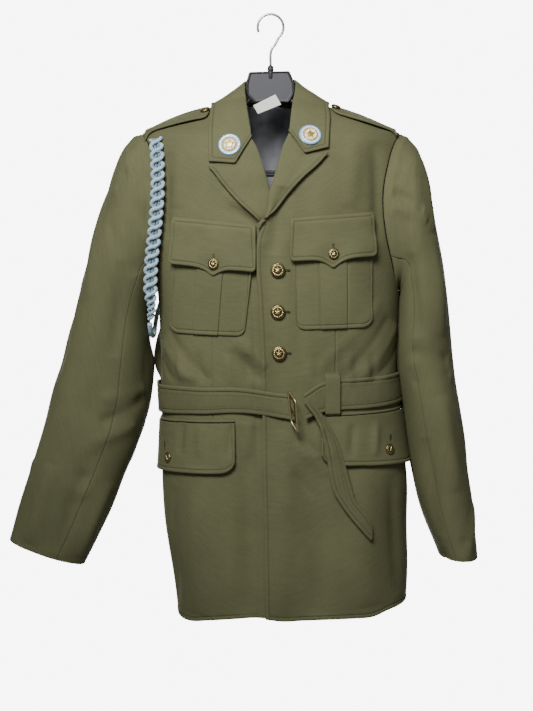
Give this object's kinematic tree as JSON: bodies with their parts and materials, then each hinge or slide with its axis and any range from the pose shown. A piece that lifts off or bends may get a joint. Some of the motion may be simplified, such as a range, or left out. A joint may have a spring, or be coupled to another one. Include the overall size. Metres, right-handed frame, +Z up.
{
  "type": "military dress tunic on a suit hanger",
  "caption": "Belted olive dress tunic with notched lapels, flapped pockets, shoulder straps and a light blue shoulder braid, hung on a plastic suit hanger with a steel hook.",
  "frame": {"origin": "where the hanger's hook bears on its rail, at the top of the inside of the hook", "axes": "+Z up, the tunic's front faces -Y, the wearer's left is +X"},
  "size_m": [0.7013, 0.2587, 0.8929],
  "materials": {
    "olive_serge": "matte twill weave",
    "dark_satin": "soft satin sheen",
    "gilt_brass": "antique gilt, worn bright on the high spots",
    "pale_blue_enamel": "gloss",
    "blue_braid": "rayon braid with a slight sheen",
    "white_tape": "matte woven tape",
    "black_plastic": "moulded, satin",
    "grey_plastic": "moulded, matte",
    "steel_wire": "zinc plated"
  },
  "bodies": {
    "root": {"back_left": "olive_serge", "back_lining": "dark_satin", "back_right": "olive_serge", "belt": "olive_serge", "belt_keeper": "olive_serge", "belt_tail": "olive_serge", "breast_button_left": "gilt_brass", "breast_button_right": "gilt_brass", "breast_flap_left": "olive_serge", "breast_flap_right": "olive_serge", "breast_pocket_left": "olive_serge", "breast_pocket_right": "olive_serge", "buckle_frame": "gilt_brass", "buckle_prong": "gilt_brass", "collar_fall": "olive_serge", "collar_stand": "olive_serge", "disc_left_medal": "gilt_brass", "disc_left_ring": "pale_blue_enamel", "disc_right_medal": "gilt_brass", "disc_right_ring": "pale_blue_enamel", "front_button_1": "gilt_brass", "front_button_2": "gilt_brass", "front_button_3": "gilt_brass", "front_left": "olive_serge", "front_right": "olive_serge", "hanger_arm_left": "black_plastic", "hanger_arm_right": "black_plastic", "hanger_hook": "steel_wire", "hanger_plate": "black_plastic", "hip_button_left": "gilt_brass", "hip_button_right": "gilt_brass", "hip_flap_left": "olive_serge", "hip_flap_right": "olive_serge", "hook_socket": "grey_plastic", "jet_left": "olive_serge", "jet_right": "olive_serge", "lapel_left": "olive_serge", "lapel_right": "olive_serge", "neck_label": "white_tape", "shoulder_braid": "blue_braid", "shoulder_cord": "blue_braid", "shoulder_strap_left": "olive_serge", "shoulder_strap_right": "olive_serge", "sleeve_left_top": "olive_serge", "sleeve_left_under": "olive_serge", "sleeve_right_top": "olive_serge", "sleeve_right_under": "olive_serge", "strap_button_left": "gilt_brass", "strap_button_right": "gilt_brass", "trouser_bar": "black_plastic"}
  },
  "joints": []
}
